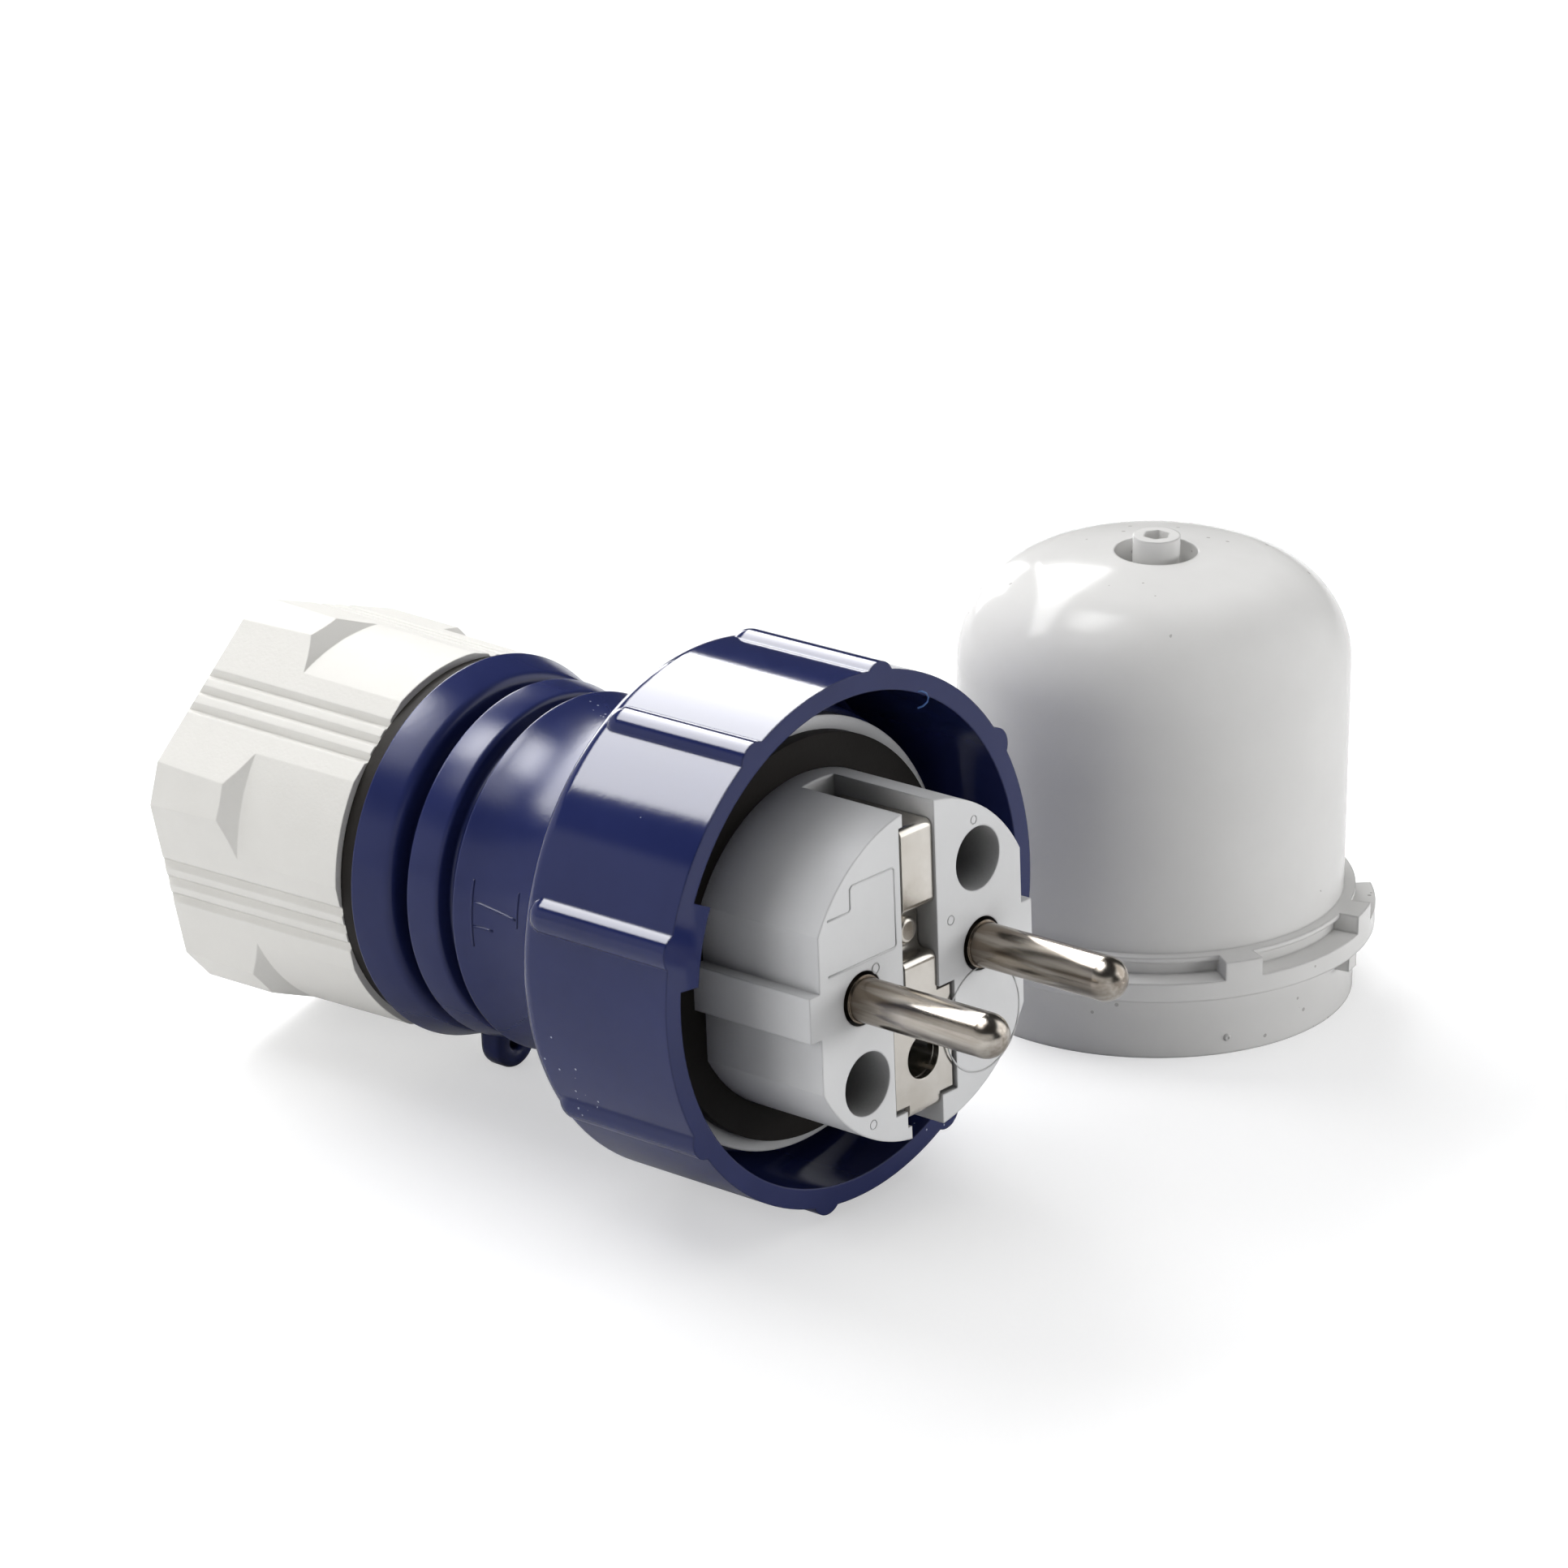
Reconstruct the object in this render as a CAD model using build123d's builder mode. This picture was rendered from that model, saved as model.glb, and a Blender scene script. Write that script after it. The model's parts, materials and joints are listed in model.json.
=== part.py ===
from build123d import *
from math import atan2, cos, degrees, hypot, radians, sin, sqrt
import os

os.makedirs("parts", exist_ok=True)

# Waterproof two-pin earthed plug lying on its side, with its dome cap standing beside it.
# Millimetres. Stations along the plug are distances from the face of the pin carrier,
# negative towards the cable. In cross-sections X is the pin direction and Y is up.

# Mating face, to the standard two-pin earthed pattern
pin_diameter = 4.8
pin_spacing = 19.0
pin_length = 19.0
pin_root_diameter = 5.2
pin_root_proud = 0.3
barrel_diameter = 36.4
barrel_flats = 32.0
guide_rib_width = 5.0
guide_rib_height = 1.6
barrel_length = 16.0

# Screw wells, earth slot and earth-pin socket in the face
well_diameter = 7.0
well_spacing = 26.6
well_angle = 46.2
well_depth = 13.0
slot_width = 5.6
slot_offset = -0.3
slot_end_gap = 0.6
groove_width = 5.0
groove_spare = 1.0
strap_width = 4.8
strap_thickness = 0.8
strap_recess = 0.3
strap_leg_length = 12.6
strap_contact_height = 16.0
strap_foot_width = 9.0
strap_foot_top = -3.0
strap_foot_bottom = -14.4
joggle_top = 6.6
joggle_bottom = 1.4
joggle_depth = 2.4
earth_hole_diameter = 5.0
earth_hole_height = -9.6
rivet_head_diameter = 3.0
rivet_head_height = 1.0
rivet_diameter = 2.0
rivet_grip = 2.0
pin_hole_diameter = 5.9
pin_hole_depth = 2.5
socket_length = 12.0
socket_wall = 0.5
socket_slit = 0.8
socket_leaf_width = 1.6
socket_leaf_reach = 1.4

# Clearances
running_gap = 0.1
seat_gap = 0.05
ring_play_x = -1.1
ring_play_y = 1.7
ring_gap = 0.3

# Carrier flange, gaskets and terminals
gasket_thickness = 1.5
gasket_step = 1.5
carrier_flange_step = 0.775
carrier_flange_thickness = 2.5
flange_seal_width = 1.8
flange_seal_depth = 1.0
pin_collar_diameter = 7.0
pin_collar_length = 2.0
terminal_width = 7.0
terminal_height = 7.0
terminal_length = 10.0
earth_terminal_height = 4.0
wire_hole_diameter = 3.0
wire_hole_depth = 7.0
terminal_screw_diameter = 2.5
terminal_screw_length = 3.0
terminal_head_diameter = 4.0
terminal_head_height = 1.6
driver_slot_width = 0.8
driver_slot_depth = 0.7
carrier_back_wall = 2.0
access_width = 4.6
fixing_screw_diameter = 3.0
fixing_screw_length = 18.0
fixing_head_diameter = 6.0
fixing_head_height = 2.4
boss_diameter = 7.0
boss_length = 12.0
boss_root = 0.5
boss_floor = 0.5
cavity_spare = 1.0

# Locking ring
ring_length = 21.0
ring_front = -8.5
ring_outer_diameter = 57.6
ring_wall = 2.2
ring_lip_diameter = 44.8
ring_lip_thickness = 2.4
ring_edge_round = 2.0
rib_radius = 2.2
rib_height = 0.9
rib_tail = 1.0
rib_angles = (31.5, 78.5, 120.0, 165.0)
lug_angle = 164.0
lug_sweep = 20.0
lug_thickness = 2.3
lug_reach = 2.7

# Housing
housing_wall = 2.4
housing_flange_thickness = 6.8
neck_diameter = 37.2
neck_rear = -48.6
fin_diameter = 39.8
fin_front = -51.5
fin_rear = -55.4
groove_floor_diameter = 35.2
groove_lean = 0.6
shoulder_diameter = 42.8
shoulder_front = -57.8
shoulder_rear = -62.3
shoulder_round = 1.0
spigot_diameter = 34.0
spigot_length = 17.5
gland_bore_diameter = 28.0
gland_ledge_diameter = 20.0
gland_ledge_front = -60.0
gland_ledge_rear = -66.0
eyelet_width = 6.0
eyelet_thickness = 2.6
eyelet_hole_diameter = 1.6
eyelet_reach = 25.64

# Cable gland and nut
seal_thickness = 2.2
seal_diameter = 41.2
grommet_bore_diameter = 12.0
grommet_length = 17.0
claw_wall = 2.3
claw_base_length = 6.0
claw_count = 8
claw_slit = 1.2
washer_thickness = 1.5
washer_diameter = 29.6
nut_length = 27.7
nut_front_diameter = 42.6
nut_rear_diameter = 43.8
nut_thread_length = 17.0
nut_outlet_diameter = 15.0
nut_outlet_flare = 2.0
hex_flat_ratio = 0.97
hex_corner_width = 46.2
hex_corner_angle = 41.4
ramp_front = -79.4
ramp_slope = 0.8
ramp_crest_diameter = 48.0
nut_chamfer = 0.7
grip_groove_spacing = 2.2
grip_groove_depth = 0.65

# Dome cap, standing on its open mouth
cap_x = -22.7
cap_y = 66.2
cap_height = 51.4
cap_skirt_diameter = 46.6
cap_skirt_height = 7.7
cap_flange_diameter = 51.2
cap_flange_thickness = 2.2
cap_channel_diameter = 45.2
cap_channel_height = 1.5
cap_bead_diameter = 46.6
cap_bead_thickness = 0.6
cap_body_diameter = 44.0
cap_corner_radius = 11.5
cap_crown_radius = 62.0
cap_wall = 2.0
cap_well_diameter = 9.3
cap_well_depth = 5.0
cap_hub_diameter = 5.3
cap_hub_proud = 1.7
cap_hub_key = 2.6
cap_hub_key_depth = 2.0
cap_stop_angles = (-27.0, 19.5)
cap_stop_sweep = 10.0
cap_entry_angle = 62.0
cap_entry_sweep = 26.0
cap_underlug_angle = 15.0
cap_underlug_sweep = 5.0
cap_underlug_height = 2.2
cap_underlug_proud = 1.7

# Stations that follow from the sizes above
well_radius = well_spacing / 2
gasket_back = -barrel_length - gasket_thickness
carrier_back_station = gasket_back - carrier_flange_thickness
housing_flange_rear = carrier_back_station - housing_flange_thickness
ring_rear = ring_front - ring_length
lip_front = ring_rear + ring_lip_thickness
ring_play = hypot(ring_play_x, ring_play_y)
ring_bore_radius = ring_outer_diameter / 2 - ring_wall
housing_flange_radius = ring_bore_radius - ring_play - ring_gap
hub_radius = ring_lip_diameter / 2 - ring_play - ring_gap
cavity_radius = hub_radius - housing_wall
carrier_flange_radius = housing_flange_radius - carrier_flange_step
gasket_radius = carrier_flange_radius - gasket_step
flange_seal_radius = (cavity_radius + carrier_flange_radius) / 2
neck_bore_radius = groove_floor_diameter / 2 - housing_wall
lug_inner_radius = ring_bore_radius - lug_reach
socket_radius = earth_hole_diameter / 2 + socket_wall
claw_inner_radius = gland_bore_diameter / 2 - claw_wall
spigot_rear = shoulder_rear - spigot_length
seal_rear = shoulder_rear - seal_thickness
nut_front = seal_rear - running_gap
nut_rear = nut_front - nut_length
nut_thread_rear = nut_front - nut_thread_length
grommet_rear = gland_ledge_rear - grommet_length
washer_front = grommet_rear - seat_gap
washer_rear = washer_front - washer_thickness
nut_ledge = washer_rear - running_gap
terminal_front = carrier_back_station - seat_gap
terminal_rear = terminal_front - terminal_length
terminal_screw_station = terminal_rear + terminal_length / 3
carrier_back_rear = terminal_rear - carrier_back_wall
cavity_rear = carrier_back_rear - cavity_spare
web_floor = -strap_recess - strap_thickness
joggle_floor = -strap_recess - joggle_depth
strap_bend = strap_thickness + seat_gap
nut_draft = (nut_rear_diameter - nut_front_diameter) / 2 / nut_length
ramp_start_radius = nut_front_diameter / 2 + nut_draft * (nut_front - ramp_front)
ramp_rear = ramp_front - (ramp_crest_diameter / 2 - ramp_start_radius) / ramp_slope
grip_groove_side = grip_groove_depth * sqrt(2)
foot_slot_width = strap_foot_width + slot_width - strap_width
groove_floor = strap_contact_height - strap_thickness - seat_gap
groove_length = strap_leg_length + groove_spare
groove_middle = (groove_floor + barrel_diameter / 2 + groove_spare) / 2
groove_height = barrel_diameter / 2 + groove_spare - groove_floor
cap_flange_top = cap_skirt_height + cap_flange_thickness
cap_bead_bottom = cap_flange_top + cap_channel_height
cap_bead_top = cap_bead_bottom + cap_bead_thickness
cap_well_floor = cap_height - cap_well_depth

# Resting pose: the ring's lowest rib touches the floor, and the eyelet or the nut behind it
rib_centre_radius = ring_outer_diameter / 2 + rib_height - rib_radius
rib_low = rib_centre_radius * max(sin(radians(angle)) for angle in rib_angles) + rib_radius
ring_low = rib_low - ring_play_y
hex_flat = hex_flat_ratio * (nut_rear_diameter / 2 - nut_draft * nut_chamfer)
strip_half = (hex_flat - hex_corner_width / 2 * cos(radians(30))) / sin(radians(30))
strip_turn = 60 - (90 - hex_corner_angle) % 60 - degrees(atan2(strip_half, hex_corner_width / 2))
nut_low = hypot(hex_corner_width / 2, strip_half) * cos(radians(max(strip_turn, 0)))
ring_foot = ring_rear + rib_tail + rib_radius
nut_foot = nut_rear + nut_chamfer
rear_feet = ((eyelet_reach, shoulder_rear), (nut_low, nut_foot))
rest_tilt = min(degrees(atan2(ring_low - reach, ring_foot - foot)) for reach, foot in rear_feet)
tilt = radians(rest_tilt)
face_height = ring_low * cos(tilt) - ring_foot * sin(tilt)
pin_reach = (pin_length - pin_diameter / 2) * cos(tilt) + pin_diameter / 2
nut_reach = (nut_low - nut_chamfer) * sin(tilt) - nut_rear * cos(tilt)
face_x = (nut_reach - pin_reach) / 2
face_y = (ring_outer_diameter / 2 - ring_play_x - cap_y - cap_flange_diameter / 2) / 2
eyelet_centre = eyelet_reach - eyelet_width / 2
eyelet_root = spigot_diameter / 2

# Planes: the carrier's face, the half section (radius, station) and the upright section
face = Plane(
    origin=(face_x, face_y, face_height),
    x_dir=(0, 1, 0),
    z_dir=(cos(tilt), 0, sin(tilt)),
)
section = Plane(face.origin, x_dir=face.x_dir, z_dir=-face.y_dir)
upright = Plane(face.origin, x_dir=face.y_dir, z_dir=face.x_dir)
plug_axis = Axis(face.origin, face.z_dir)
ring_centre = face.origin + face.x_dir * ring_play_x + face.y_dir * ring_play_y
ring_face = Plane(ring_centre, x_dir=face.x_dir, z_dir=face.z_dir)
ring_section = Plane(ring_centre, x_dir=face.x_dir, z_dir=-face.y_dir)
ring_axis = Axis(ring_centre, face.z_dir)
cap_base = Plane(origin=(face_x + cap_x, face_y + cap_y, 0))
cap_section = Plane(cap_base.origin, x_dir=(1, 0, 0), z_dir=(0, -1, 0))
cap_axis = Axis(cap_base.origin, (0, 0, 1))
terminal_top = Plane(
    face.origin + face.y_dir * (terminal_height / 2) + face.z_dir * terminal_screw_station,
    x_dir=face.x_dir,
    z_dir=face.y_dir,
)


def arc_sector(inner, outer, middle, sweep):
    """A flat piece of a ring, centred on the angle middle and sweep degrees wide."""
    with BuildSketch() as sector:
        with BuildLine():
            outside = CenterArc((0, 0), outer, middle - sweep / 2, sweep)
            inside = CenterArc((0, 0), inner, middle - sweep / 2, sweep)
            Line(outside @ 0, inside @ 0)
            Line(outside @ 1, inside @ 1)
        make_face()
    return sector.sketch


def barrel_outline(growth):
    """The carrier's barrel section: a circle with side flats and a guide rib on each."""
    with BuildSketch() as outline:
        Circle(barrel_diameter / 2 + growth)
        Rectangle(barrel_flats + 2 * growth, barrel_diameter + 2 * growth, mode=Mode.INTERSECT)
        Rectangle(barrel_flats + 2 * (guide_rib_height + growth), guide_rib_width + 2 * growth)
    return outline.sketch


pin_places = [(-pin_spacing / 2, 0), (pin_spacing / 2, 0)]
earth_place = (0, earth_terminal_height)
terminal_places = [*pin_places, earth_place]
rib_places = [
    (rib_centre_radius * cos(radians(turn)), rib_centre_radius * sin(radians(turn)))
    for angle in rib_angles
    for turn in (angle, angle + 180)
]

# Housing: one moulding with the front flange, the neck, the rear spigot and the eyelet
with BuildPart() as housing:
    with BuildSketch(section):
        with BuildLine():
            flange = Polyline(
                (cavity_radius, carrier_back_station),
                (housing_flange_radius, carrier_back_station),
                (housing_flange_radius, housing_flange_rear),
                (hub_radius, housing_flange_rear),
                (hub_radius, ring_rear),
            )
            neck = Spline(
                flange @ 1,
                (neck_diameter / 2, (ring_rear + neck_rear) / 2),
                (fin_diameter / 2, neck_rear),
                tangents=[(0, -1), (0.25, -1)],
            )
            fins = Polyline(
                neck @ 1,
                (groove_floor_diameter / 2, neck_rear - groove_lean),
                (groove_floor_diameter / 2, fin_front + groove_lean),
                (fin_diameter / 2, fin_front),
                (fin_diameter / 2, fin_rear),
                (groove_floor_diameter / 2, fin_rear - groove_lean),
                (groove_floor_diameter / 2, shoulder_front),
            )
            shoulder = Spline(
                fins @ 1,
                (shoulder_diameter / 2 - shoulder_round, (shoulder_front + shoulder_rear) / 2),
                (shoulder_diameter / 2, shoulder_rear),
                tangents=[(1, -0.15), (0, -1)],
            )
            Polyline(
                shoulder @ 1,
                (spigot_diameter / 2, shoulder_rear),
                (spigot_diameter / 2, spigot_rear),
                (gland_bore_diameter / 2, spigot_rear),
                (gland_bore_diameter / 2, gland_ledge_rear),
                (gland_ledge_diameter / 2, gland_ledge_rear),
                (gland_ledge_diameter / 2, gland_ledge_front),
                (neck_bore_radius, fin_front),
                (neck_bore_radius, neck_rear + housing_wall),
                (cavity_radius, cavity_rear),
                flange @ 0,
            )
        make_face()
    revolve(axis=plug_axis)
    with BuildSketch(face.offset(carrier_back_station)):
        with PolarLocations(well_radius, 2, start_angle=well_angle):
            Circle(boss_diameter / 2)
        with PolarLocations((well_radius + cavity_radius) / 2, 2, start_angle=well_angle):
            Rectangle(cavity_radius - well_radius + boss_root, boss_diameter)
    extrude(amount=-boss_length)
    with BuildSketch(face.offset(carrier_back_station)):
        with PolarLocations(well_radius, 2, start_angle=well_angle):
            Circle(fixing_screw_diameter / 2 + seat_gap)
    extrude(amount=-(boss_length - boss_floor), mode=Mode.SUBTRACT)
    with BuildSketch(face.offset(carrier_back_station)):
        Circle(flange_seal_radius + flange_seal_width / 2)
        Circle(flange_seal_radius - flange_seal_width / 2, mode=Mode.SUBTRACT)
    extrude(amount=-flange_seal_depth, mode=Mode.SUBTRACT)
    with BuildSketch(face.offset(shoulder_rear)):
        with Locations((0, -(eyelet_centre + eyelet_root) / 2)):
            Rectangle(eyelet_width, eyelet_centre - eyelet_root)
        with Locations((0, -eyelet_centre)):
            Circle(eyelet_width / 2)
            Circle(eyelet_hole_diameter / 2, mode=Mode.SUBTRACT)
    extrude(amount=eyelet_thickness)
housing.part.label = "housing"
export_step(housing.part, "parts/housing.step")

# Contact carrier: barrel, flange, screw wells, pin holes, face slot and side grooves
with BuildPart() as contact_carrier:
    with BuildSketch(face):
        add(barrel_outline(0))
    extrude(amount=gasket_back)
    with BuildSketch(face.offset(gasket_back)):
        Circle(carrier_flange_radius)
    extrude(amount=-carrier_flange_thickness)
    with BuildSketch(face):
        with PolarLocations(well_radius, 2, start_angle=well_angle):
            Circle(well_diameter / 2)
    extrude(amount=-well_depth, mode=Mode.SUBTRACT)
    with BuildSketch(face.offset(carrier_back_station)):
        with PolarLocations(well_radius, 2, start_angle=well_angle):
            Circle(fixing_screw_diameter / 2 + running_gap)
        with Locations(*pin_places):
            Circle(pin_root_diameter / 2 + seat_gap)
        with Locations(earth_place):
            Circle(rivet_diameter / 2 + seat_gap)
    extrude(amount=-carrier_back_station, mode=Mode.SUBTRACT)
    with BuildSketch(face):
        with Locations(*pin_places):
            Circle(pin_hole_diameter / 2)
    extrude(amount=-pin_hole_depth, mode=Mode.SUBTRACT)
    # Slot for the strap's web, wider at the foot, with a pocket for the joggle
    with BuildSketch(face):
        with Locations((slot_offset, 0)):
            Rectangle(slot_width, 2 * (strap_contact_height + slot_end_gap))
        Rectangle(groove_width, barrel_diameter + slot_width)
        with Locations((0, (strap_foot_top + strap_foot_bottom) / 2)):
            Rectangle(foot_slot_width, strap_foot_top - strap_foot_bottom + slot_width - strap_width)
    extrude(amount=web_floor, mode=Mode.SUBTRACT)
    with BuildSketch(face):
        with Locations((slot_offset, (joggle_top + joggle_bottom) / 2)):
            Rectangle(slot_width, joggle_top - joggle_bottom + 2 * strap_thickness + 2 * ring_gap)
    extrude(amount=joggle_floor - strap_thickness, mode=Mode.SUBTRACT)
    # Grooves along the barrel for the side contacts
    with BuildSketch(face):
        with Locations((0, groove_middle), (0, -groove_middle)):
            Rectangle(groove_width, groove_height)
    extrude(amount=-groove_length, mode=Mode.SUBTRACT)
    with BuildSketch(face):
        with Locations((0, earth_hole_height)):
            Circle(socket_radius + seat_gap)
    extrude(amount=web_floor - socket_length, mode=Mode.SUBTRACT)
contact_carrier.part.label = "contact_carrier"
export_step(contact_carrier.part, "parts/contact_carrier.step")

# Carrier back: holds the terminals behind the carrier
with BuildPart() as carrier_back:
    with BuildSketch(face.offset(terminal_front)):
        Circle(cavity_radius - running_gap)
        with PolarLocations(well_radius, 2, start_angle=well_angle):
            Circle(boss_diameter / 2 + ring_gap, mode=Mode.SUBTRACT)
        with PolarLocations(cavity_radius, 2, start_angle=well_angle):
            Rectangle(
                2 * (cavity_radius - well_radius),
                boss_diameter + 2 * ring_gap,
                mode=Mode.SUBTRACT,
            )
    extrude(amount=-(terminal_length + carrier_back_wall))
    with BuildSketch(face.offset(terminal_front)):
        with Locations(*terminal_places):
            Rectangle(terminal_width + 2 * running_gap, terminal_height + 2 * running_gap)
    extrude(amount=-terminal_length, mode=Mode.SUBTRACT)
    with BuildSketch(face.offset(carrier_back_rear)):
        with Locations(*terminal_places):
            Circle(wire_hole_diameter / 2 + ring_gap)
    extrude(amount=carrier_back_wall, mode=Mode.SUBTRACT)
    with BuildSketch(face.offset(terminal_screw_station + access_width / 2)):
        for x, y in terminal_places:
            with Locations((x, y + terminal_height / 2)):
                Rectangle(access_width, cavity_radius, align=(Align.CENTER, Align.MIN))
    extrude(amount=-access_width, mode=Mode.SUBTRACT)
carrier_back.part.label = "carrier_back"
export_step(carrier_back.part, "parts/carrier_back.step")

# Face gasket round the barrel, and the seal between carrier and housing
with BuildPart() as face_gasket:
    with BuildSketch(face.offset(-barrel_length)):
        Circle(gasket_radius)
        add(barrel_outline(seat_gap), mode=Mode.SUBTRACT)
    extrude(amount=-gasket_thickness)
face_gasket.part.label = "face_gasket"
export_step(face_gasket.part, "parts/face_gasket.step")

with BuildPart() as flange_seal:
    with BuildSketch(face.offset(carrier_back_station)):
        Circle(flange_seal_radius + flange_seal_width / 2 - seat_gap)
        Circle(flange_seal_radius - flange_seal_width / 2 + seat_gap, mode=Mode.SUBTRACT)
    extrude(amount=-flange_seal_depth)
flange_seal.part.label = "flange_seal"
export_step(flange_seal.part, "parts/flange_seal.step")

# Live and neutral pins: round pin, thicker root, collar and terminal block in one piece
with BuildPart() as live_pin:
    with BuildSketch(face.offset(terminal_front)):
        with Locations(pin_places[0]):
            Circle(pin_root_diameter / 2)
    extrude(amount=pin_root_proud - terminal_front)
    with BuildSketch(face.offset(pin_root_proud)):
        with Locations(pin_places[0]):
            Circle(pin_diameter / 2)
    extrude(amount=pin_length - pin_diameter / 2 - pin_root_proud)
    with Locations(face.offset(pin_length - pin_diameter / 2)):
        with Locations(pin_places[0]):
            Sphere(pin_diameter / 2)
    with BuildSketch(face.offset(terminal_front)):
        with Locations(pin_places[0]):
            Circle(pin_collar_diameter / 2)
    extrude(amount=-pin_collar_length)
    with BuildSketch(face.offset(terminal_front - pin_collar_length)):
        with Locations(pin_places[0]):
            Rectangle(terminal_width, terminal_height)
    extrude(amount=pin_collar_length - terminal_length)
    with BuildSketch(face.offset(terminal_rear)):
        with Locations(pin_places[0]):
            Circle(wire_hole_diameter / 2)
    extrude(amount=wire_hole_depth, mode=Mode.SUBTRACT)
    with BuildSketch(terminal_top):
        with Locations((pin_places[0][0], 0)):
            Circle(terminal_screw_diameter / 2 + seat_gap)
    extrude(amount=-terminal_height / 2, mode=Mode.SUBTRACT)
live_pin.part.label = "live_pin"
export_step(live_pin.part, "parts/live_pin.step")

with BuildPart() as neutral_pin:
    mirror(live_pin.part, about=upright)
neutral_pin.part.label = "neutral_pin"
export_step(neutral_pin.part, "parts/neutral_pin.step")

# Earth strap: one folded sheet, side contact, web with a joggle, foot and side contact
with BuildPart() as earth_strap:
    with BuildSketch(upright):
        with BuildLine():
            outside = FilletPolyline(
                (strap_contact_height, -strap_leg_length),
                (strap_contact_height, -strap_recess),
                (joggle_top, -strap_recess),
                (joggle_top, joggle_floor),
                (joggle_bottom, joggle_floor),
                (joggle_bottom, -strap_recess),
                (-strap_contact_height, -strap_recess),
                (-strap_contact_height, -strap_leg_length),
                radius=strap_bend,
            )
            offset(outside, amount=strap_thickness, side=Side.LEFT)
        make_face()
    extrude(amount=strap_width / 2, both=True)
    with BuildSketch(face.offset(-strap_recess)):
        with Locations((0, (strap_foot_top + strap_foot_bottom) / 2)):
            Rectangle(strap_foot_width, strap_foot_top - strap_foot_bottom)
    extrude(amount=-strap_thickness)
    with BuildSketch(face):
        with Locations((0, earth_hole_height)):
            Circle(earth_hole_diameter / 2)
        with Locations(earth_place):
            Circle(rivet_diameter / 2 + seat_gap)
    extrude(amount=joggle_floor - strap_thickness, mode=Mode.SUBTRACT)
earth_strap.part.label = "earth_strap"
export_step(earth_strap.part, "parts/earth_strap.step")

# Earth socket: slit spring tube behind the strap's hole, with a leaf that presses the pin
with BuildPart() as earth_socket:
    with BuildSketch(face.offset(web_floor)):
        with Locations((0, earth_hole_height)):
            Circle(socket_radius)
            Circle(socket_radius - socket_wall, mode=Mode.SUBTRACT)
            Rectangle(2 * socket_radius + socket_slit, socket_slit, mode=Mode.SUBTRACT)
    extrude(amount=-socket_length)
    with BuildSketch(face.offset(web_floor)):
        with Locations((0, earth_hole_height)):
            Circle(socket_radius)
            Circle(socket_radius - socket_wall, mode=Mode.SUBTRACT)
    extrude(amount=-socket_slit)
    with BuildSketch(upright):
        with BuildLine():
            Polyline(
                (earth_hole_height + socket_radius - socket_wall / 2, web_floor - socket_slit),
                (earth_hole_height + socket_leaf_reach, web_floor - socket_length / 3),
                (earth_hole_height + socket_radius - socket_wall / 2, web_floor - socket_length / 2),
                close=True,
            )
        make_face()
    extrude(amount=socket_leaf_width / 2, both=True)
earth_socket.part.label = "earth_socket"
export_step(earth_socket.part, "parts/earth_socket.step")

# Rivet through the joggle into the earth terminal
with BuildPart() as earth_rivet:
    with BuildSketch(face.offset(joggle_floor)):
        with Locations(earth_place):
            Circle(rivet_head_diameter / 2)
    extrude(amount=rivet_head_height)
    fillet(earth_rivet.edges().group_by(plug_axis)[-1], rivet_head_height / 2)
    with BuildSketch(face.offset(joggle_floor)):
        with Locations(earth_place):
            Circle(rivet_diameter / 2)
    extrude(amount=terminal_front - rivet_grip - joggle_floor)
earth_rivet.part.label = "earth_rivet"
export_step(earth_rivet.part, "parts/earth_rivet.step")

with BuildPart() as earth_terminal:
    with BuildSketch(face.offset(terminal_front)):
        with Locations(earth_place):
            Rectangle(terminal_width, terminal_height)
    extrude(amount=-terminal_length)
    with BuildSketch(face.offset(terminal_front)):
        with Locations(earth_place):
            Circle(rivet_diameter / 2 + seat_gap)
    extrude(amount=-rivet_grip, mode=Mode.SUBTRACT)
    with BuildSketch(face.offset(terminal_rear)):
        with Locations(earth_place):
            Circle(wire_hole_diameter / 2)
    extrude(amount=wire_hole_depth, mode=Mode.SUBTRACT)
    with BuildSketch(terminal_top.offset(earth_terminal_height)):
        Circle(terminal_screw_diameter / 2 + seat_gap)
    extrude(amount=-terminal_height / 2, mode=Mode.SUBTRACT)
earth_terminal.part.label = "earth_terminal"
export_step(earth_terminal.part, "parts/earth_terminal.step")

# Terminal screws: three alike, each standing on its terminal block
with BuildPart() as terminal_screws:
    for x, y in terminal_places:
        with BuildSketch(terminal_top.offset(y)):
            with Locations((x, 0)):
                Circle(terminal_head_diameter / 2)
        extrude(amount=terminal_head_height)
        with BuildSketch(terminal_top.offset(y)):
            with Locations((x, 0)):
                Circle(terminal_screw_diameter / 2)
        extrude(amount=-terminal_screw_length)
        with BuildSketch(terminal_top.offset(y + terminal_head_height)):
            with Locations((x, 0)):
                Rectangle(terminal_head_diameter, driver_slot_width)
        extrude(amount=-driver_slot_depth, mode=Mode.SUBTRACT)
terminal_screws.part.label = "terminal_screws"
export_step(terminal_screws.part, "parts/terminal_screws.step")

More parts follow.
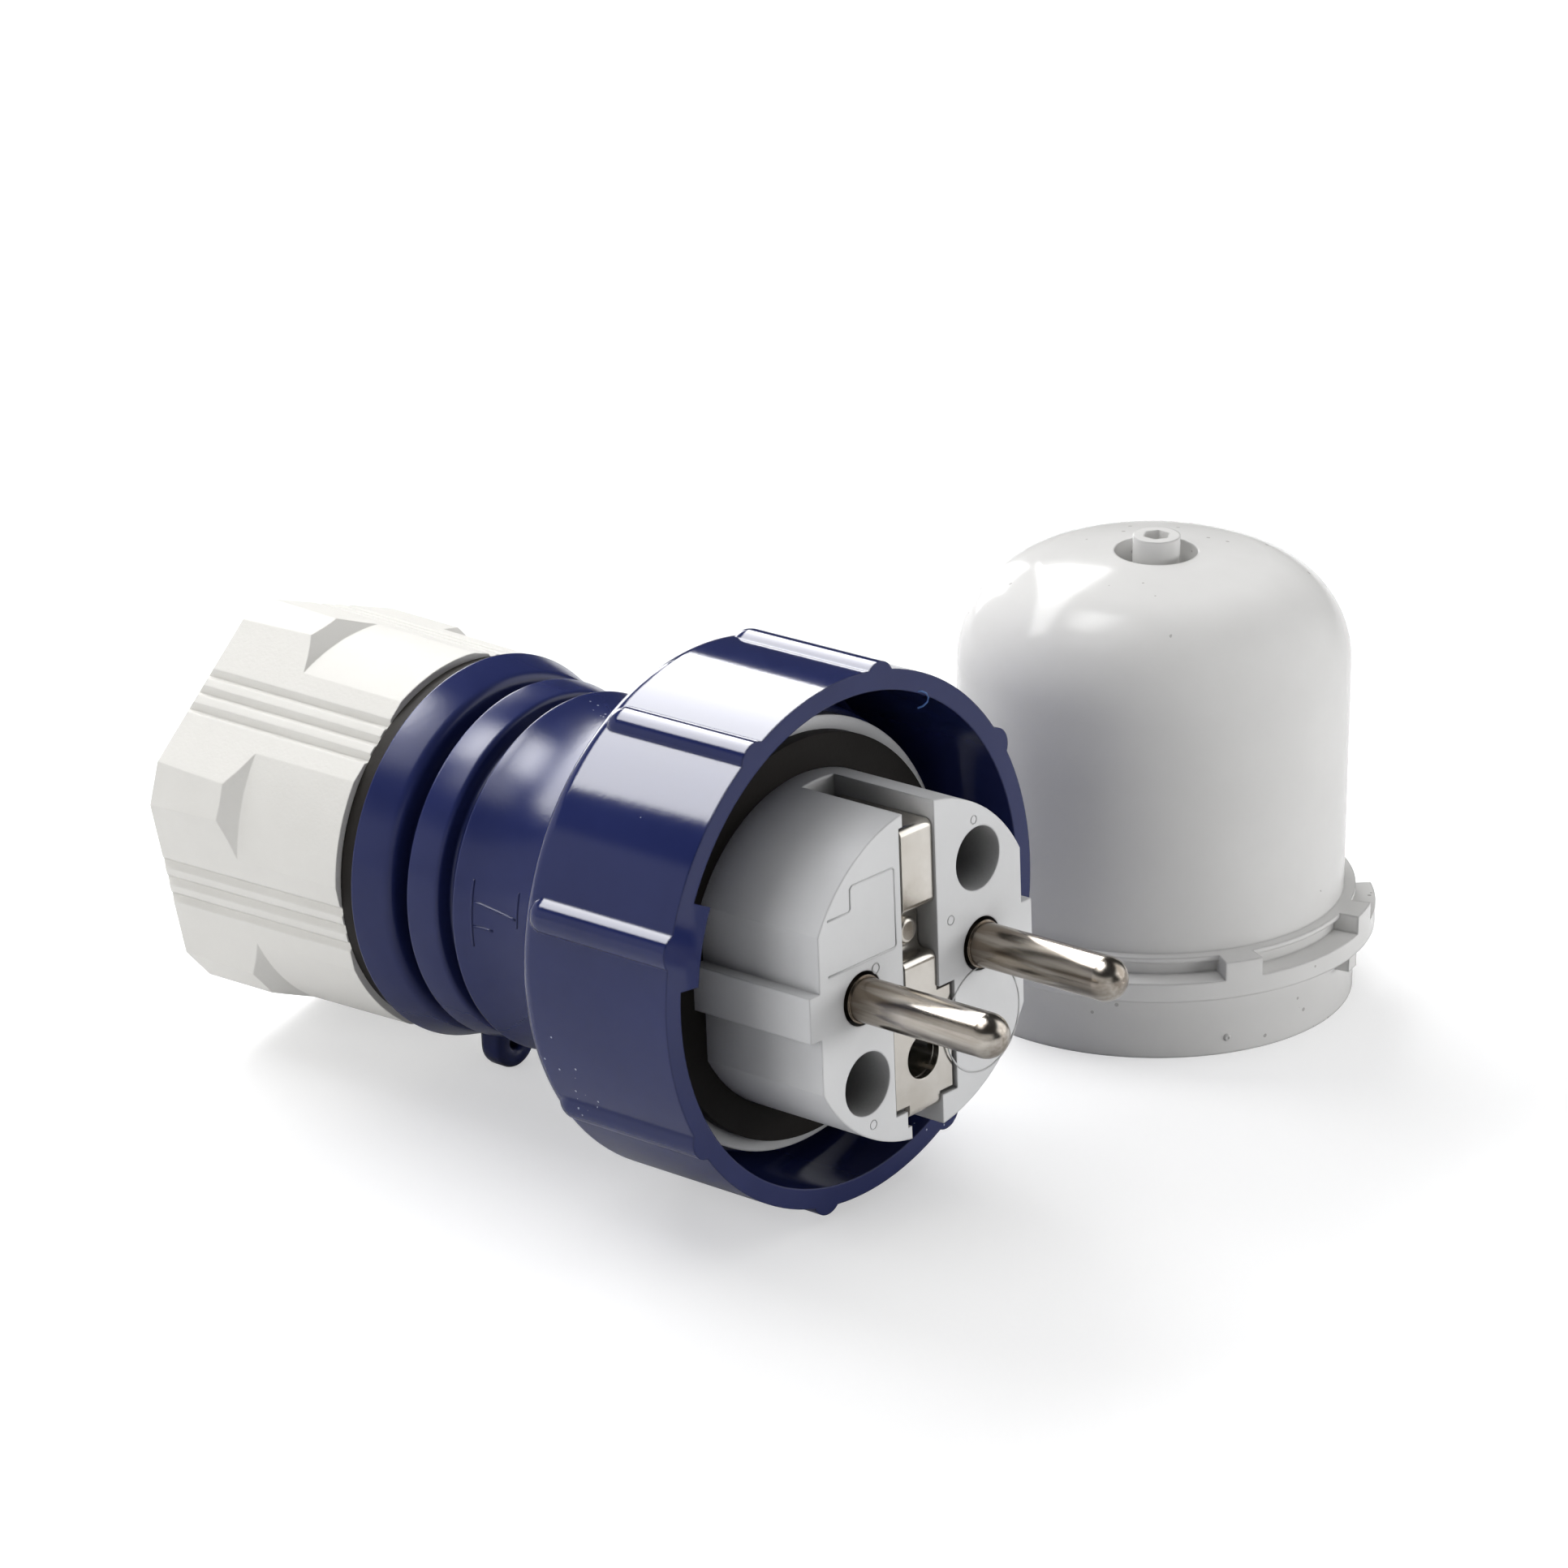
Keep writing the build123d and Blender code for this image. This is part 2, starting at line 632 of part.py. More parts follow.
# Fixing screws: two alike, at the bottom of the wells
with BuildPart() as fixing_screws:
    with BuildSketch(face.offset(-well_depth)):
        with PolarLocations(well_radius, 2, start_angle=well_angle):
            Circle(fixing_head_diameter / 2)
    extrude(amount=fixing_head_height)
    with BuildSketch(face.offset(-well_depth)):
        with PolarLocations(well_radius, 2, start_angle=well_angle):
            Circle(fixing_screw_diameter / 2)
    extrude(amount=-fixing_screw_length)
    with BuildSketch(face.offset(fixing_head_height - well_depth)):
        with PolarLocations(well_radius, 2, start_angle=well_angle):
            Rectangle(fixing_head_diameter - driver_slot_width, driver_slot_width)
            Rectangle(driver_slot_width, fixing_head_diameter - driver_slot_width)
    extrude(amount=-fixing_head_height / 2, mode=Mode.SUBTRACT)
fixing_screws.part.label = "fixing_screws"
export_step(fixing_screws.part, "parts/fixing_screws.step")

# Locking ring: loose bayonet collar with eight grip ribs and two lugs inside its rim
with BuildPart(ring_face) as locking_ring:
    with BuildSketch(ring_section) as ring_profile:
        with BuildLine():
            Polyline(
                (ring_lip_diameter / 2, ring_rear),
                (ring_outer_diameter / 2, ring_rear),
                (ring_outer_diameter / 2, ring_front),
                (ring_lip_diameter / 2, ring_front),
                close=True,
            )
        make_face()
        fillet(ring_profile.vertices().group_by(Axis.Y)[0].sort_by(Axis.X)[-1], ring_edge_round)
    revolve(axis=ring_axis)
    with BuildSketch(ring_face.offset(ring_foot)):
        with Locations(*rib_places):
            Circle(rib_radius)
    extrude(amount=ring_front - ring_foot)
    with Locations(*[(x, y, ring_foot) for x, y in rib_places]):
        Sphere(rib_radius)
    with BuildSketch(ring_face.offset(lip_front)):
        Circle(ring_bore_radius)
    extrude(amount=ring_front - lip_front, mode=Mode.SUBTRACT)
    with BuildSketch(ring_face.offset(ring_front)):
        for side in (0, 180):
            add(arc_sector(lug_inner_radius, ring_bore_radius + ring_gap, lug_angle + side, lug_sweep))
    extrude(amount=-lug_thickness)
locking_ring.part.label = "locking_ring"
export_step(locking_ring.part, "parts/locking_ring.step")

# Seal between the housing's shoulder and the nut
with BuildPart() as nut_seal:
    with BuildSketch(face.offset(shoulder_rear)):
        Circle(seal_diameter / 2)
        Circle(spigot_diameter / 2 + seat_gap, mode=Mode.SUBTRACT)
    extrude(amount=-seal_thickness)
nut_seal.part.label = "nut_seal"
export_step(nut_seal.part, "parts/nut_seal.step")

# Cable gland: claw cage, rubber grommet inside it and the slip washer behind them
with BuildPart() as clamp_claw:
    with BuildSketch(face.offset(gland_ledge_rear)):
        Circle(gland_bore_diameter / 2 - seat_gap)
        Circle(claw_inner_radius, mode=Mode.SUBTRACT)
    extrude(amount=-grommet_length)
    with BuildSketch(face.offset(gland_ledge_rear - claw_base_length)):
        with PolarLocations(0, claw_count // 2, angular_range=180):
            Rectangle(gland_bore_diameter, claw_slit)
    extrude(amount=claw_base_length - grommet_length, mode=Mode.SUBTRACT)
clamp_claw.part.label = "clamp_claw"
export_step(clamp_claw.part, "parts/clamp_claw.step")

with BuildPart() as cable_grommet:
    with BuildSketch(face.offset(gland_ledge_rear)):
        Circle(claw_inner_radius - seat_gap)
        Circle(grommet_bore_diameter / 2, mode=Mode.SUBTRACT)
    extrude(amount=-grommet_length)
cable_grommet.part.label = "cable_grommet"
export_step(cable_grommet.part, "parts/cable_grommet.step")

with BuildPart() as slip_washer:
    with BuildSketch(face.offset(washer_front)):
        Circle(washer_diameter / 2)
        Circle(nut_outlet_diameter / 2, mode=Mode.SUBTRACT)
    extrude(amount=-washer_thickness)
slip_washer.part.label = "slip_washer"
export_step(slip_washer.part, "parts/slip_washer.step")

# Gland nut: conical body that turns hexagonal behind sloping ramps, with fine grip grooves
with BuildPart() as gland_nut:
    with BuildSketch(section):
        with BuildLine():
            Polyline(
                (spigot_diameter / 2 + running_gap, nut_front),
                (nut_front_diameter / 2, nut_front),
                (nut_front_diameter / 2 + nut_draft * (nut_front - ramp_front), ramp_front),
                (ramp_crest_diameter / 2, ramp_rear),
                (ramp_crest_diameter / 2, nut_rear),
                (nut_outlet_diameter / 2 + nut_outlet_flare, nut_rear),
                (nut_outlet_diameter / 2, nut_rear + nut_outlet_flare),
                (nut_outlet_diameter / 2, nut_ledge),
                (washer_diameter / 2 + ring_gap, nut_ledge),
                (washer_diameter / 2 + ring_gap, nut_thread_rear),
                (spigot_diameter / 2 + running_gap, nut_thread_rear),
                close=True,
            )
        make_face()
    revolve(axis=plug_axis)
    for station, diameter in ((nut_front, nut_front_diameter), (nut_rear, nut_rear_diameter)):
        with BuildSketch(face.offset(station)):
            RegularPolygon(
                hex_flat_ratio * diameter / 2,
                6,
                major_radius=False,
                rotation=hex_corner_angle,
            )
    loft(mode=Mode.INTERSECT)
    with BuildSketch(face.offset(nut_rear)):
        RegularPolygon(hex_corner_width / 2, 6, major_radius=False, rotation=hex_corner_angle + 30)
    extrude(amount=nut_length, mode=Mode.INTERSECT)
    rear_rim = gland_nut.faces().sort_by(plug_axis)[0].outer_wire().edges()
    chamfer(rear_rim, nut_chamfer)
    for flat in range(6):
        flat_angle = hex_corner_angle + 30 + 60 * flat
        outward = face.x_dir * cos(radians(flat_angle)) + face.y_dir * sin(radians(flat_angle))
        with BuildSketch(face.offset(nut_front)):
            with PolarLocations(hex_flat_ratio * nut_front_diameter / 2, 1, start_angle=flat_angle):
                with Locations((0, -grip_groove_spacing), (0, 0), (0, grip_groove_spacing)):
                    Rectangle(grip_groove_side, grip_groove_side, rotation=45)
        extrude(
            amount=nut_length + ring_gap,
            dir=outward * (hex_flat_ratio * nut_draft) - face.z_dir,
            mode=Mode.SUBTRACT,
        )
gland_nut.part.label = "gland_nut"
export_step(gland_nut.part, "parts/gland_nut.step")

# Dome cap: shell with skirt, bayonet flange and stops, bead, dome and sunken hub
with BuildPart() as protective_cap:
    with BuildSketch(cap_section) as cap_outside:
        with BuildLine():
            Polyline(
                (0, 0),
                (cap_skirt_diameter / 2, 0),
                (cap_skirt_diameter / 2, cap_skirt_height),
                (cap_flange_diameter / 2, cap_skirt_height),
                (cap_flange_diameter / 2, cap_flange_top),
                (cap_channel_diameter / 2, cap_flange_top),
                (cap_channel_diameter / 2, cap_bead_bottom),
                (cap_bead_diameter / 2, cap_bead_bottom),
                (cap_bead_diameter / 2, cap_bead_top),
                (cap_body_diameter / 2, cap_bead_top),
                (cap_body_diameter / 2, cap_height + cap_corner_radius),
                (0, cap_height + cap_corner_radius),
                close=True,
            )
        make_face()
        with Locations((0, cap_height - cap_crown_radius)):
            Circle(cap_crown_radius, mode=Mode.INTERSECT)
        fillet(cap_outside.vertices().group_by(Axis.X)[1].sort_by(Axis.Y)[-1], cap_corner_radius)
    revolve(axis=cap_axis)
    with BuildSketch(cap_section) as cap_inside:
        with Locations((0, 0)):
            Rectangle(
                cap_body_diameter / 2 - cap_wall,
                cap_height + cap_corner_radius,
                align=(Align.MIN, Align.MIN),
            )
        with Locations((0, cap_height - cap_crown_radius)):
            Circle(cap_crown_radius - cap_wall, mode=Mode.INTERSECT)
        fillet(
            cap_inside.vertices().group_by(Axis.X)[-1].sort_by(Axis.Y)[-1],
            cap_corner_radius - cap_wall,
        )
    revolve(axis=cap_axis, mode=Mode.SUBTRACT)
    # Flange entry gaps, stop blocks and under-lugs
    with BuildSketch(cap_base.offset(cap_skirt_height)):
        for side in (0, 180):
            add(
                arc_sector(
                    cap_skirt_diameter / 2,
                    cap_flange_diameter / 2 + ring_gap,
                    cap_entry_angle + side,
                    cap_entry_sweep,
                )
            )
    extrude(amount=cap_flange_thickness, mode=Mode.SUBTRACT)
    with BuildSketch(cap_base.offset(cap_flange_top)):
        for middle in cap_stop_angles:
            for side in (0, 180):
                add(
                    arc_sector(
                        cap_channel_diameter / 2 - running_gap,
                        cap_flange_diameter / 2,
                        middle + side,
                        cap_stop_sweep,
                    )
                )
    extrude(amount=cap_bead_top - cap_flange_top)
    with BuildSketch(cap_base.offset(cap_skirt_height)):
        for side in (0, 180):
            add(
                arc_sector(
                    cap_skirt_diameter / 2 - running_gap,
                    cap_skirt_diameter / 2 + cap_underlug_proud,
                    cap_underlug_angle + side,
                    cap_underlug_sweep,
                )
            )
    extrude(amount=-cap_underlug_height)
    # Sunken well in the crown with the hub standing in it
    with BuildSketch(cap_base.offset(cap_height - cap_wall)):
        Circle(cap_well_diameter / 2 + cap_wall)
    extrude(amount=-cap_well_depth)
    with BuildSketch(cap_base.offset(cap_well_floor)):
        Circle(cap_well_diameter / 2)
    extrude(amount=cap_well_depth, mode=Mode.SUBTRACT)
    with BuildSketch(cap_base.offset(cap_well_floor)):
        Circle(cap_hub_diameter / 2)
    extrude(amount=cap_well_depth + cap_hub_proud)
    with BuildSketch(cap_base.offset(cap_height + cap_hub_proud)):
        RegularPolygon(cap_hub_key / 2, 6, major_radius=False)
    extrude(amount=-cap_hub_key_depth, mode=Mode.SUBTRACT)
protective_cap.part.label = "protective_cap"
export_step(protective_cap.part, "parts/protective_cap.step")
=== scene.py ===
import json
from math import cos, pi, radians, sin

import bmesh
import bpy
from mathutils import Matrix, Vector


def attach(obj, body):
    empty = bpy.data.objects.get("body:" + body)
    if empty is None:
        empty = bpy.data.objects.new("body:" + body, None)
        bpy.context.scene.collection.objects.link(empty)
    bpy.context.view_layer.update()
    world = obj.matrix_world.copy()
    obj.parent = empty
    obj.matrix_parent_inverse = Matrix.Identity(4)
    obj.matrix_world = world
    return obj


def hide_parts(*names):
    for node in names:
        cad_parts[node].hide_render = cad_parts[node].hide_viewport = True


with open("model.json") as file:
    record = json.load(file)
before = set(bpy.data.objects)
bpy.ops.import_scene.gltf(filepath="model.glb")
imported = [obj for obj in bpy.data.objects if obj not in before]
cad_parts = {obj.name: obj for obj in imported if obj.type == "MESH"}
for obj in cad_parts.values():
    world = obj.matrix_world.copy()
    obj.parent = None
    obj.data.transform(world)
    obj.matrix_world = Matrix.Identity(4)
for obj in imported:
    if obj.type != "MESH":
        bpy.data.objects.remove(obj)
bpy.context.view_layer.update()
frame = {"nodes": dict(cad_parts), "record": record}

MM = 0.001

# Where the plug lies: the face of the pin carrier, and the directions across, up and out of it
FACE = Vector((37.164815, -30.95, 28.732512)) * MM
TILT = radians(2.874994)
OUT = Vector((cos(TILT), 0, sin(TILT)))
ACROSS = Vector((0, 1, 0))
UP = Vector((-sin(TILT), 0, cos(TILT)))

# Middle of the cap's rim on the floor
CAP = Vector((14.464815, 35.25, 0)) * MM


def at(u, v, station):
    """A point given across, up and along the plug, in millimetres from the carrier's face."""
    return FACE + ACROSS * (u * MM) + UP * (v * MM) + OUT * (station * MM)


def around(radius, angle, station):
    """A point on the plug at a radius and an angle from across towards up, in radians."""
    return at(radius * cos(angle), radius * sin(angle), station)


# Materials
def new_material(name):
    material = bpy.data.materials.new(name)
    material.use_nodes = True
    nodes = material.node_tree.nodes
    return material, nodes, material.node_tree.links, nodes["Principled BSDF"]


def noise(nodes, links, coords, scale, detail=4.0, roughness=0.5):
    node = nodes.new("ShaderNodeTexNoise")
    node.inputs["Scale"].default_value = scale
    node.inputs["Detail"].default_value = detail
    node.inputs["Roughness"].default_value = roughness
    links.new(coords.outputs["Object"], node.inputs["Vector"])
    return node


def ramp(nodes, links, source, stops):
    """Colours along a source, given as (position, colour) stops."""
    node = nodes.new("ShaderNodeValToRGB")
    elements = node.color_ramp.elements
    while len(elements) < len(stops):
        elements.new(0.5)
    for element, (position, colour) in zip(elements, stops):
        element.position = position
        element.color = (*colour, 1.0)
    links.new(source, node.inputs["Fac"])
    return node


def spread(nodes, links, source, low, high, start=0.0, end=1.0):
    """Carries start to end over to low to high."""
    node = nodes.new("ShaderNodeMapRange")
    node.inputs["From Min"].default_value = start
    node.inputs["From Max"].default_value = end
    node.inputs["To Min"].default_value = low
    node.inputs["To Max"].default_value = high
    links.new(source, node.inputs["Value"])
    return node


def calculated(nodes, links, operation, *terms):
    """A maths node whose terms are sockets or numbers."""
    node = nodes.new("ShaderNodeMath")
    node.operation = operation
    for socket, term in zip(node.inputs, terms):
        if isinstance(term, float):
            socket.default_value = term
        else:
            links.new(term, socket)
    return node


def mixed(nodes, links, factor, first, second, blend="MIX"):
    """One colour over another; factor and colours are sockets or values."""
    node = nodes.new("ShaderNodeMix")
    node.data_type = "RGBA"
    node.blend_type = blend
    for name, term in (("Factor", factor), ("A", first), ("B", second)):
        if isinstance(term, float):
            node.inputs[name].default_value = term
        elif isinstance(term, tuple):
            node.inputs[name].default_value = (*term, 1.0)
        else:
            links.new(term, node.inputs[name])
    return node.outputs["Result"]


def bumped(nodes, links, height, strength, distance, edge):
    """Fine relief over softly rounded edges."""
    rounded_edges = nodes.new("ShaderNodeBevel")
    rounded_edges.samples = 4
    rounded_edges.inputs["Radius"].default_value = edge
    bump = nodes.new("ShaderNodeBump")
    bump.inputs["Strength"].default_value = strength
    bump.inputs["Distance"].default_value = distance
    links.new(height, bump.inputs["Height"])
    links.new(rounded_edges.outputs["Normal"], bump.inputs["Normal"])
    return bump


def speckled(nodes, links, coords, colour, amount, dust_colour, fineness):
    """Small round specks where a slow noise lets them through."""
    spots = nodes.new("ShaderNodeTexVoronoi")
    spots.inputs["Scale"].default_value = fineness
    links.new(coords.outputs["Object"], spots.inputs["Vector"])
    patches = noise(nodes, links, coords, 45.0, 4.0, 0.6)
    near = calculated(nodes, links, "LESS_THAN", spots.outputs["Distance"], 0.11)
    here = calculated(nodes, links, "GREATER_THAN", patches.outputs["Fac"], 1.0 - amount)
    both = calculated(nodes, links, "MULTIPLY", near.outputs[0], here.outputs[0])
    return mixed(nodes, links, both.outputs[0], colour, dust_colour)


def painted_hollow_shade(nodes, links, colour, reach, darkest):
    """Painted shade: darkens the colour at the bottoms of wells and grooves and wherever other surfaces
    crowd in.
    """
    cavity = nodes.new("ShaderNodeAmbientOcclusion")
    cavity.samples = 4
    cavity.inputs["Distance"].default_value = reach
    depth = spread(nodes, links, cavity.outputs["AO"], darkest, 1.0, 0.15, 0.75)
    return mixed(nodes, links, 1.0, colour, depth.outputs["Result"], "MULTIPLY")


def plastic(name, colours, roughness, specular=0.5, grain=(900.0, 0.06), edge=0.0002, dust=None,
            hollow_shade=None):
    """Moulded plastic: cloudy colour, uneven gloss and fine grain, with specks and painted shade in hollows
    if asked.
    """
    material, nodes, links, shader = new_material(name)
    coords = nodes.new("ShaderNodeTexCoord")
    clouds = noise(nodes, links, coords, 60.0, 5.0, 0.6)
    tint = ramp(nodes, links, clouds.outputs["Fac"], [(0.3, colours[0]), (0.7, colours[1])])
    smears = noise(nodes, links, coords, 240.0, 6.0, 0.7)
    gloss = spread(nodes, links, smears.outputs["Fac"], roughness * 0.8, roughness * 1.25)
    fineness, relief = grain
    fine = noise(nodes, links, coords, fineness, 3.0, 0.6)
    bump = bumped(nodes, links, fine.outputs["Fac"], relief, 0.0002, edge)
    colour = tint.outputs["Color"]
    if dust:
        colour = speckled(nodes, links, coords, colour, *dust)
    # Painted shade: the colour is darkened in hollows where little light reaches.
    if hollow_shade:
        colour = painted_hollow_shade(nodes, links, colour, *hollow_shade)
    links.new(colour, shader.inputs["Base Color"])
    links.new(gloss.outputs["Result"], shader.inputs["Roughness"])
    links.new(bump.outputs["Normal"], shader.inputs["Normal"])
    shader.inputs["Specular IOR Level"].default_value = specular
    return material


def metal(name, colours, roughness, stretch=(1.0, 1.0, 1.0), edge=0.00015):
    """Plated or turned metal with fine lines along one direction."""
    material, nodes, links, shader = new_material(name)
    coords = nodes.new("ShaderNodeTexCoord")
    place = nodes.new("ShaderNodeMapping")
    place.inputs["Scale"].default_value = stretch
    links.new(coords.outputs["Object"], place.inputs["Vector"])
    lines = nodes.new("ShaderNodeTexNoise")
    lines.inputs["Scale"].default_value = 900.0
    lines.inputs["Detail"].default_value = 5.0
    links.new(place.outputs["Vector"], lines.inputs["Vector"])
    clouds = noise(nodes, links, coords, 160.0, 4.0, 0.6)
    tint = ramp(nodes, links, clouds.outputs["Fac"], [(0.35, colours[0]), (0.65, colours[1])])
    gloss = spread(nodes, links, lines.outputs["Fac"], roughness * 0.7, roughness * 1.4)
    bump = bumped(nodes, links, lines.outputs["Fac"], 0.05, 0.0001, edge)
    links.new(tint.outputs["Color"], shader.inputs["Base Color"])
    links.new(gloss.outputs["Result"], shader.inputs["Roughness"])
    links.new(bump.outputs["Normal"], shader.inputs["Normal"])
    shader.inputs["Metallic"].default_value = 1.0
    return material


def pin_metal():
    """Nickel with lengthwise lines, tinted darker and browner towards the root and along lengthwise streaks.
    """
    material = metal("nickel_pins", [(0.60, 0.56, 0.50), (0.72, 0.69, 0.64)], 0.20, (0.05, 1.0, 1.0))
    nodes, links = material.node_tree.nodes, material.node_tree.links
    shader = nodes["Principled BSDF"]
    plain_colour = shader.inputs["Base Color"].links[0].from_socket
    lines = shader.inputs["Roughness"].links[0].from_socket
    coords = nodes.new("ShaderNodeTexCoord")
    split = nodes.new("ShaderNodeSeparateXYZ")
    links.new(coords.outputs["Object"], split.inputs["Vector"])
    # The colour turns darker and browner towards the root and along lengthwise streaks.
    root = spread(nodes, links, split.outputs["X"], 0.0, 1.0, FACE.x + 7.0 * MM, FACE.x - 1.0 * MM)
    streaks = spread(nodes, links, lines, 0.15, 0.85, 0.17, 0.23)
    root_and_streak_tint = calculated(nodes, links, "MULTIPLY_ADD", root.outputs["Result"], 0.55,
                         streaks.outputs["Result"])
    root_and_streak_tint.use_clamp = True
    colour = mixed(nodes, links, root_and_streak_tint.outputs[0], plain_colour, (0.20, 0.165, 0.13))
    links.new(colour, shader.inputs["Base Color"])
    return material


SPECKS = (0.30, 0.34, 0.45)
# The housing's and the insert's colours carry painted shade in their hollows.
blue = plastic("blue_plastic", [(0.013, 0.019, 0.082), (0.019, 0.026, 0.102)], 0.22, specular=0.30,
               grain=(1500.0, 0.05), dust=(0.37, SPECKS, 900.0), hollow_shade=(0.006, 0.25))
blue_ring = plastic("blue_ring_plastic", [(0.013, 0.019, 0.082), (0.018, 0.025, 0.100)], 0.09, specular=0.30,
                    grain=(1200.0, 0.02), edge=0.0003, dust=(0.36, SPECKS, 900.0))
insert = plastic("grey_insert", [(0.655, 0.66, 0.665), (0.705, 0.71, 0.715)], 0.38, specular=0.4,
                 grain=(1400.0, 0.06), edge=0.00035, hollow_shade=(0.008, 0.22))
nut_grey = plastic("grey_nut", [(0.685, 0.675, 0.645), (0.73, 0.72, 0.69)], 0.55, specular=0.3,
                   grain=(2200.0, 0.16), edge=0.00025)
cap_grey = plastic("grey_cap", [(0.68, 0.676, 0.666), (0.72, 0.716, 0.706)], 0.11, specular=0.08,
                   grain=(1000.0, 0.02), edge=0.0004, dust=(0.50, (0.46, 0.45, 0.44), 480.0))
claw = plastic("claw_plastic", [(0.55, 0.55, 0.52), (0.6, 0.6, 0.57)], 0.5)
rubber = plastic("dark_rubber", [(0.008, 0.007, 0.006), (0.015, 0.013, 0.012)], 0.6, specular=0.16,
                 grain=(1600.0, 0.14))
flash_blue = plastic("blue_flash", [(0.05, 0.12, 0.32), (0.07, 0.16, 0.40)], 0.4)
nickel = metal("nickel", [(0.62, 0.585, 0.53), (0.74, 0.71, 0.66)], 0.22, (0.6, 1.0, 1.0))
pins = pin_metal()
brass = metal("brass_block", [(0.62, 0.46, 0.20), (0.70, 0.54, 0.26)], 0.3)
steel = metal("steel_screws", [(0.5, 0.5, 0.5), (0.58, 0.58, 0.58)], 0.3)

MATERIALS = {
    "blue_plastic": blue,
    "blue_ring_plastic": blue_ring,
    "grey_insert": insert,
    "grey_nut": nut_grey,
    "grey_cap": cap_grey,
    "claw_plastic": claw,
    "dark_rubber": rubber,
    "nickel": nickel,
    "brass_block": brass,
    "steel_screws": steel,
}
PINS = ("live_pin", "neutral_pin")
slot_of = {entry["node"]: entry["material_slot"] for entry in frame["record"]["subparts"]}
for node, cad in frame["nodes"].items():
    dress = pins if node in PINS else MATERIALS[slot_of[node]]
    for material_slot in cad.material_slots:
        material_slot.material = dress


# Mesh helpers
def new_piece(name, builder, material, body):
    """Makes an object of a finished mesh builder and gives it its body and slot."""
    bmesh.ops.recalc_face_normals(builder, faces=builder.faces)
    mesh = bpy.data.meshes.new(name)
    builder.to_mesh(mesh)
    builder.free()
    mesh.materials.append(material)
    for polygon in mesh.polygons:
        polygon.use_smooth = True
    piece = bpy.data.objects.new(name, mesh)
    bpy.context.scene.collection.objects.link(piece)
    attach(piece, body)
    return piece


def rounded(corners, steps=5):
    """A closed outline of (radius, station) points with each corner eased by its own length."""
    outline = []
    for i, (radius, station, ease) in enumerate(corners):
        here = Vector((radius, station))
        if not ease:
            outline.append(here)
            continue
        before = Vector(corners[i - 1][:2])
        after = Vector(corners[(i + 1) % len(corners)][:2])
        start = here + (before - here).normalized() * ease
        end = here + (after - here).normalized() * ease
        for step in range(steps + 1):
            t = step / steps
            outline.append(start * (1 - t) ** 2 + here * (2 * t * (1 - t)) + end * t ** 2)
    return outline


def joined(builder, ring, following):
    """Faces between two rings of as many points."""
    for step in range(len(ring)):
        after = (step + 1) % len(ring)
        builder.faces.new((ring[step], ring[after], following[after], following[step]))


def lathe(builder, outline, segments, radius_at):
    """Turns a closed outline round the plug's axis; radius_at varies the radius with the angle."""
    turns = [2 * pi * step / segments for step in range(segments)]
    rings = [
        [builder.verts.new(around(radius_at(radius, station, turn), turn, station)) for turn in turns]
        for radius, station in outline
    ]
    for ring, following in zip(rings, rings[1:] + rings[:1]):
        joined(builder, ring, following)


def bead(builder, points, radius, sides=8, closed=False):
    """A thin round bead through the points."""
    rings = []
    count = len(points)
    for i, point in enumerate(points):
        after = points[(i + 1) % count] if closed or i + 1 < count else point
        before = points[i - 1] if closed or i else point
        forward = (after - before).normalized()
        side = forward.cross(UP if abs(forward.dot(UP)) < 0.9 else OUT).normalized()
        other = forward.cross(side)
        rings.append([
            builder.verts.new(point + (side * cos(turn) + other * sin(turn)) * (radius * MM))
            for turn in (2 * pi * step / sides for step in range(sides))
        ])
    for ring, following in zip(rings, rings[1:] + rings[:1] if closed else rings[1:]):
        joined(builder, ring, following)
    if not closed:
        builder.faces.new(rings[0])
        builder.faces.new(rings[-1])


# Housing: the same moulding with eased lips on its beads, the spigot's thread and the moulding lines
FLANGE_RADIUS, FLANGE_FRONT, FLANGE_REAR = 24.275, -20.0, -26.8
HUB_RADIUS, HUB_REAR = 20.075, -31.5
CAVITY_RADIUS, CAVITY_REAR = 17.675, -33.05
WAIST_RADIUS, WAIST_STATION, WAIST_FRONT = 18.5, -39.6, -32.0
WAIST_STEP, WAIST_STEPS = 0.6, 27
BEAD_RADIUS, GROOVE_RADIUS = 19.9, 17.35
SHOULDER_RADIUS, SHOULDER_REAR = 21.4, -62.3
SPIGOT_RADIUS, SPIGOT_REAR, SPIGOT_BORE = 17.0, -79.8, 14.0
SEAT_BORE, SEAT_FRONT, SEAT_REAR = 10.0, -60.0, -66.0
NECK_BORE, NECK_FRONT, NECK_REAR = 15.2, -46.2, -51.5
THREAD_PITCH, THREAD_DEPTH, THREAD_FRONT, THREAD_REAR, THREAD_FADE = 3.0, 0.75, -65.0, -79.2, 1.5
THREAD_STEP, THREAD_STEPS = 0.25, 69
LIP = 0.3


def waist(station):
    """Radius of the neck between the hub and the first bead."""
    ahead = station > WAIST_STATION
    flare, reach = (1.15, 7.6) if ahead else (1.40, 9.0)
    return WAIST_RADIUS + flare * min(abs(station - WAIST_STATION) / reach, 1.0) ** 2.2


def threaded(radius, station, angle):
    """Cuts the round thread into the spigot and lets it run out at both ends."""
    if radius <= SPIGOT_RADIUS - 0.1 or not THREAD_REAR < station < THREAD_FRONT:
        return radius
    fade = min((station - THREAD_REAR) / THREAD_FADE, (THREAD_FRONT - station) / THREAD_FADE, 1.0)
    wave = 0.5 - 0.5 * cos(2 * pi * (station / THREAD_PITCH - angle / (2 * pi)))
    return radius - THREAD_DEPTH * fade * min(max(wave * 1.5 - 0.25, 0.0), 1.0)


